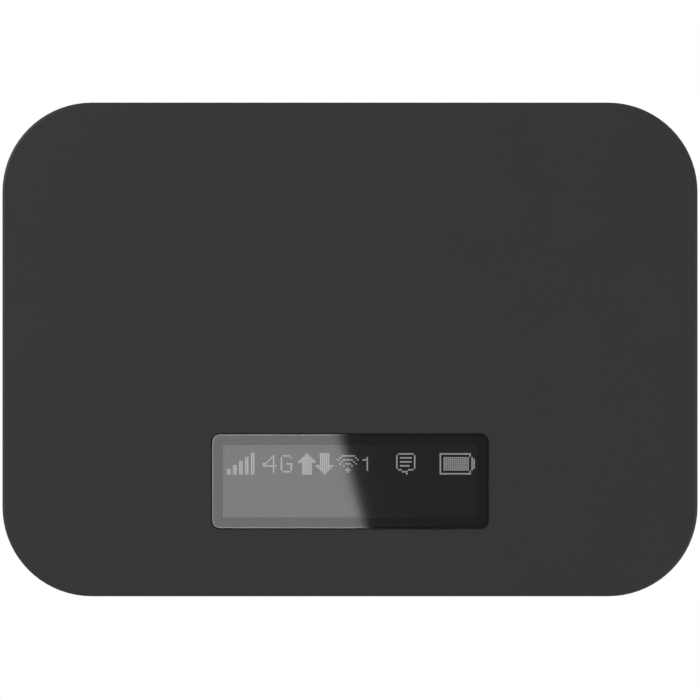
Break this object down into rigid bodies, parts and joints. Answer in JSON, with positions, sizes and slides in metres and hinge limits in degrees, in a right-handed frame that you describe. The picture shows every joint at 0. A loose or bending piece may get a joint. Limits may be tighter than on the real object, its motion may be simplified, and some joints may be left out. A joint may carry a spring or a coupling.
{
  "type": "mobile hotspot",
  "caption": "Pocket battery-powered mobile hotspot: a flat rounded casing with a small status window in its face.",
  "frame": {"origin": "centre of the back, on the surface the device rests on", "axes": "+Z out of the face, +X to the right seen from the front, +Y to the edge that carries the keys"},
  "size_m": [0.096, 0.0682, 0.0156],
  "materials": {
    "casing_plastic": "fine matte texture",
    "housing_plastic": "fine matte texture",
    "key_plastic": "smooth satin",
    "window_glass": "polished, dark tint",
    "adhesive": "double-sided tape",
    "gasket_foam": "closed-cell foam",
    "display_glass": "display glass",
    "polarizer_film": "semi-gloss film",
    "chip_resin": "moulded epoxy",
    "white_plastic": "moulded",
    "light_guide_plastic": "clear",
    "stainless_sheet": "stamped",
    "flex_circuit": "polyimide film",
    "connector_plastic": "moulded",
    "circuit_board": "solder mask over fibreglass",
    "tinned_sheet": "stamped",
    "silicone_pad": "soft pad",
    "graphite_sheet": "graphite film",
    "ferrite": "moulded choke",
    "ceramic_chip": "sintered",
    "gold_plate": "gold plated",
    "copper_trace": "plated copper",
    "brass": "knurled",
    "steel_screw": "black zinc",
    "sim_plastic": "plain card",
    "cell_can": "drawn can",
    "wrap_film": "printed film, no text",
    "cap_plastic": "moulded"
  },
  "bodies": {
    "housing": {"antenna_carriers": "connector_plastic", "antenna_springs": "gold_plate", "antenna_test_sockets": "gold_plate", "antenna_traces": "copper_trace", "backlight_frame": "white_plastic", "battery_connector": "connector_plastic", "battery_contact_springs": "gold_plate", "board_screws": "steel_screw", "capacitors": "ceramic_chip", "display_connector": "connector_plastic", "display_driver": "chip_resin", "display_flex": "flex_circuit", "display_gasket": "gasket_foam", "display_glass": "display_glass", "display_polarizer": "polarizer_film", "display_tray": "stainless_sheet", "display_window": "window_glass", "front_cover": "casing_plastic", "heat_spreader": "graphite_sheet", "housing_screws": "steel_screw", "inductors": "ferrite", "light_guide": "light_guide_plastic", "main_board": "circuit_board", "memory_chip": "chip_resin", "menu_switch": "stainless_sheet", "mid_housing": "housing_plastic", "modem_processor": "chip_resin", "modem_shield_lid": "tinned_sheet", "power_amplifiers": "chip_resin", "power_management_chip": "chip_resin", "power_shield_lid": "tinned_sheet", "power_switch": "stainless_sheet", "radio_shield_lid": "tinned_sheet", "radio_transceiver": "chip_resin", "reset_switch": "stainless_sheet", "shield_fences": "tinned_sheet", "sim_socket": "connector_plastic", "sim_socket_cover": "stainless_sheet", "thermal_pad": "silicone_pad", "threaded_inserts": "brass", "usb_contacts": "gold_plate", "usb_shell": "stainless_sheet", "usb_tongue": "connector_plastic", "wifi_antennas": "stainless_sheet", "wifi_chip": "chip_resin", "window_tape": "adhesive"},
    "power_button": {"power_key": "key_plastic", "power_plunger": "white_plastic"},
    "menu_button": {"menu_key": "key_plastic", "menu_plunger": "white_plastic"},
    "reset_button": {"reset_plunger": "white_plastic"},
    "rear_cover": {"back_cover": "casing_plastic"},
    "battery": {"battery_wrap": "wrap_film", "battery_cell": "cell_can", "battery_bottom_cap": "cap_plastic", "battery_top_cap": "cap_plastic", "battery_protection_board": "circuit_board", "battery_pads": "gold_plate"},
    "sim": {"sim_card": "sim_plastic", "sim_card_pads": "gold_plate"}
  },
  "joints": [
    {"name": "power_key_press", "type": "slide", "parent": "housing", "child": "power_button", "axis": [0, -1, 0], "range_m": [0, 0.0003], "stiffness_N_per_m": 5000},
    {"name": "menu_key_press", "type": "slide", "parent": "housing", "child": "menu_button", "axis": [0, -1, 0], "range_m": [0, 0.0003], "stiffness_N_per_m": 5000},
    {"name": "reset_press", "type": "slide", "parent": "housing", "child": "reset_button", "axis": [0, 0, 1], "range_m": [0, 0.00025], "stiffness_N_per_m": 5000},
    {"name": "back_cover_lift", "type": "slide", "parent": "housing", "child": "rear_cover", "axis": [0, 0, -1], "range_m": [0, 0.03]},
    {"name": "battery_lift", "type": "slide", "parent": "housing", "child": "battery", "axis": [0, 0, -1], "range_m": [0, 0.015]},
    {"name": "sim_card_slide", "type": "slide", "parent": "housing", "child": "sim", "axis": [0, 1, 0], "range_m": [0, 0.0115]}
  ],
  "couplings": [
    {"joint": "battery_lift", "follows": "back_cover_lift", "ratio": 0.5}
  ]
}
